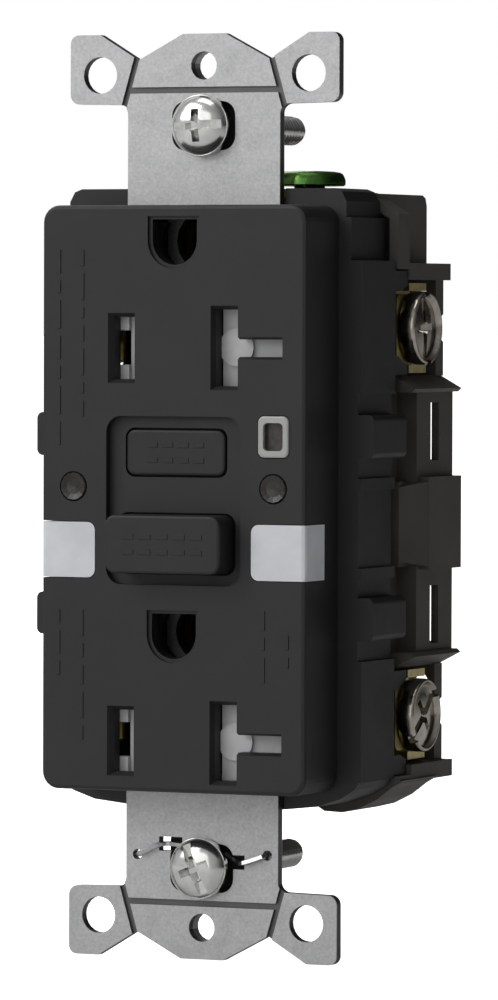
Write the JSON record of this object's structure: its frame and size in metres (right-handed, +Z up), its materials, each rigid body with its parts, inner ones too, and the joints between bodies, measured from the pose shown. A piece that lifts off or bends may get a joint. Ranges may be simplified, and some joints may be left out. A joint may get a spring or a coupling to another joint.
{
  "type": "gfci receptacle",
  "caption": "Decorator style duplex receptacle with ground fault trip, T-slot blade openings, test and reset buttons, side night lights and a steel mounting strap.",
  "frame": {"origin": "midway between the two mounting screws, on the rear plane of the strap", "axes": "+Z up along the strap, +X to the right seen from the front, -Y out of the wall through the face"},
  "size_m": [0.0419, 0.0365, 0.104],
  "materials": {
    "face_plastic": "fine moulded texture, charcoal black",
    "body_plastic": "moulded thermoset, warm black",
    "zinc_steel": "mottled zinc plate",
    "brass": "stamped, slightly dull",
    "terminal_screw": "nickel plate",
    "green_screw": "green passivated",
    "white_lens": "milky translucent",
    "clear_lens": "clear light pipe",
    "sensor_lens": "smoked lens",
    "led": "tinted lamp body",
    "shutter_plastic": "light grey acetal",
    "spring_steel": "bright drawn wire",
    "copper_winding": "enamelled winding",
    "board": "glass epoxy",
    "fibre": "dark pressed fibre",
    "component": "dipped component"
  },
  "bodies": {
    "housing": {"front_cover": "face_plastic", "inner_frame": "face_plastic", "rear_body": "body_plastic", "mounting_strap": "zinc_steel", "housing_screw_upper_left": "zinc_steel", "housing_screw_upper_right": "zinc_steel", "housing_screw_lower_left": "zinc_steel", "housing_screw_lower_right": "zinc_steel", "night_light_lens_left": "white_lens", "night_light_lens_right": "white_lens", "night_light_led_left": "white_lens", "night_light_led_right": "white_lens", "light_sensor_left": "sensor_lens", "light_sensor_right": "sensor_lens", "indicator_lens": "clear_lens", "indicator_led": "led", "ground_terminal": "brass", "ground_contact_upper": "brass", "ground_contact_lower": "brass", "self_ground_wire": "spring_steel", "shutter_spring_upper": "spring_steel", "shutter_spring_lower": "spring_steel", "test_spring": "spring_steel", "reset_spring": "spring_steel", "plunger_spring": "spring_steel", "terminal_plate_line_hot": "brass", "blade_contact_upper_hot": "brass", "terminal_plate_line_neutral": "brass", "blade_contact_upper_neutral": "brass", "terminal_plate_load_hot": "brass", "blade_contact_lower_hot": "brass", "terminal_plate_load_neutral": "brass", "blade_contact_lower_neutral": "brass", "circuit_board": "board", "solenoid_coil": "copper_winding", "sense_coil": "copper_winding", "neutral_fault_coil": "copper_winding", "varistor": "component", "capacitor": "component", "control_chip": "component"},
    "test_button": {"test_button": "face_plastic"},
    "reset_button": {"reset_button": "face_plastic"},
    "shutter_upper": {"shutter_upper": "shutter_plastic"},
    "shutter_lower": {"shutter_lower": "shutter_plastic"},
    "solenoid_plunger": {"solenoid_plunger": "spring_steel"},
    "trip_latch": {"trip_latch": "spring_steel"},
    "ground_screw": {"ground_screw": "green_screw"},
    "screw_retainer_top": {"screw_retainer_top": "fibre"},
    "mounting_screw_top": {"mounting_screw_top": "zinc_steel"},
    "screw_retainer_bottom": {"screw_retainer_bottom": "fibre"},
    "mounting_screw_bottom": {"mounting_screw_bottom": "zinc_steel"},
    "clamp_line_hot": {"clamp_plate_line_hot": "brass"},
    "terminal_screw_line_hot": {"terminal_screw_line_hot": "terminal_screw"},
    "clamp_line_neutral": {"clamp_plate_line_neutral": "brass"},
    "terminal_screw_line_neutral": {"terminal_screw_line_neutral": "terminal_screw"},
    "clamp_load_hot": {"clamp_plate_load_hot": "brass"},
    "terminal_screw_load_hot": {"terminal_screw_load_hot": "terminal_screw"},
    "clamp_load_neutral": {"clamp_plate_load_neutral": "brass"},
    "terminal_screw_load_neutral": {"terminal_screw_load_neutral": "terminal_screw"}
  },
  "joints": [
    {"name": "test_press", "type": "slide", "parent": "housing", "child": "test_button", "axis": [0, 1, 0], "range_m": [0, 0.001], "stiffness_N_per_m": 300, "springref_m": -0.001, "deforming": ["test_spring"]},
    {"name": "reset_press", "type": "slide", "parent": "housing", "child": "reset_button", "axis": [0, 1, 0], "range_m": [0, 0.0026], "stiffness_N_per_m": 500, "springref_m": -0.002, "deforming": ["reset_spring"]},
    {"name": "shutter_upper_slide", "type": "slide", "parent": "housing", "child": "shutter_upper", "axis": [1, 0, 0], "range_m": [0, 0.0027], "stiffness_N_per_m": 100, "springref_m": -0.001, "deforming": ["shutter_spring_upper"]},
    {"name": "shutter_lower_slide", "type": "slide", "parent": "housing", "child": "shutter_lower", "axis": [1, 0, 0], "range_m": [0, 0.0027], "stiffness_N_per_m": 100, "springref_m": -0.001, "deforming": ["shutter_spring_lower"]},
    {"name": "plunger_slide", "type": "slide", "parent": "housing", "child": "solenoid_plunger", "axis": [0, 0, -1], "range_m": [0, 0.0015], "stiffness_N_per_m": 200, "springref_m": -0.002, "deforming": ["plunger_spring"]},
    {"name": "latch_slide", "type": "slide", "parent": "housing", "child": "trip_latch", "axis": [0, 0, -1], "range_m": [0, 0.0015]},
    {"name": "ground_screw_turn", "type": "hinge", "parent": "housing", "child": "ground_screw", "pos_m": [0.0102, 0.005, 0.035], "axis": [0, 0, -1], "continuous": true},
    {"name": "mounting_screw_top_shift", "type": "slide", "parent": "housing", "child": "screw_retainer_top", "axis": [1, 0, 0], "range_m": [-0.001, 0.001]},
    {"name": "mounting_screw_top_turn", "type": "hinge", "parent": "screw_retainer_top", "child": "mounting_screw_top", "pos_m": [0, 0, 0.04167], "axis": [0, 1, 0], "continuous": true},
    {"name": "mounting_screw_bottom_shift", "type": "slide", "parent": "housing", "child": "screw_retainer_bottom", "axis": [1, 0, 0], "range_m": [-0.001, 0.001]},
    {"name": "mounting_screw_bottom_turn", "type": "hinge", "parent": "screw_retainer_bottom", "child": "mounting_screw_bottom", "pos_m": [0, 0, -0.04167], "axis": [0, 1, 0], "continuous": true},
    {"name": "clamp_line_hot_slide", "type": "slide", "parent": "housing", "child": "clamp_line_hot", "axis": [1, 0, 0], "range_m": [0, 0.0015]},
    {"name": "terminal_screw_line_hot_turn", "type": "hinge", "parent": "clamp_line_hot", "child": "terminal_screw_line_hot", "pos_m": [-0.018, 0.0157, 0.01905], "axis": [1, 0, 0], "range_deg": [0, 681]},
    {"name": "clamp_line_neutral_slide", "type": "slide", "parent": "housing", "child": "clamp_line_neutral", "axis": [-1, 0, 0], "range_m": [0, 0.0015]},
    {"name": "terminal_screw_line_neutral_turn", "type": "hinge", "parent": "clamp_line_neutral", "child": "terminal_screw_line_neutral", "pos_m": [0.018, 0.0157, 0.01905], "axis": [-1, 0, 0], "range_deg": [0, 681]},
    {"name": "clamp_load_hot_slide", "type": "slide", "parent": "housing", "child": "clamp_load_hot", "axis": [1, 0, 0], "range_m": [0, 0.0015]},
    {"name": "terminal_screw_load_hot_turn", "type": "hinge", "parent": "clamp_load_hot", "child": "terminal_screw_load_hot", "pos_m": [-0.018, 0.0157, -0.02482], "axis": [1, 0, 0], "range_deg": [0, 681]},
    {"name": "clamp_load_neutral_slide", "type": "slide", "parent": "housing", "child": "clamp_load_neutral", "axis": [-1, 0, 0], "range_m": [0, 0.0015]},
    {"name": "terminal_screw_load_neutral_turn", "type": "hinge", "parent": "clamp_load_neutral", "child": "terminal_screw_load_neutral", "pos_m": [0.018, 0.0157, -0.02482], "axis": [-1, 0, 0], "range_deg": [0, 681]}
  ],
  "couplings": [
    {"joint": "latch_slide", "follows": "plunger_slide", "ratio": 1},
    {"joint": "terminal_screw_line_hot_turn", "follows": "clamp_line_hot_slide", "rad_per_m": 7915.8},
    {"joint": "terminal_screw_line_neutral_turn", "follows": "clamp_line_neutral_slide", "rad_per_m": 7915.8},
    {"joint": "terminal_screw_load_hot_turn", "follows": "clamp_load_hot_slide", "rad_per_m": 7915.8},
    {"joint": "terminal_screw_load_neutral_turn", "follows": "clamp_load_neutral_slide", "rad_per_m": 7915.8}
  ]
}
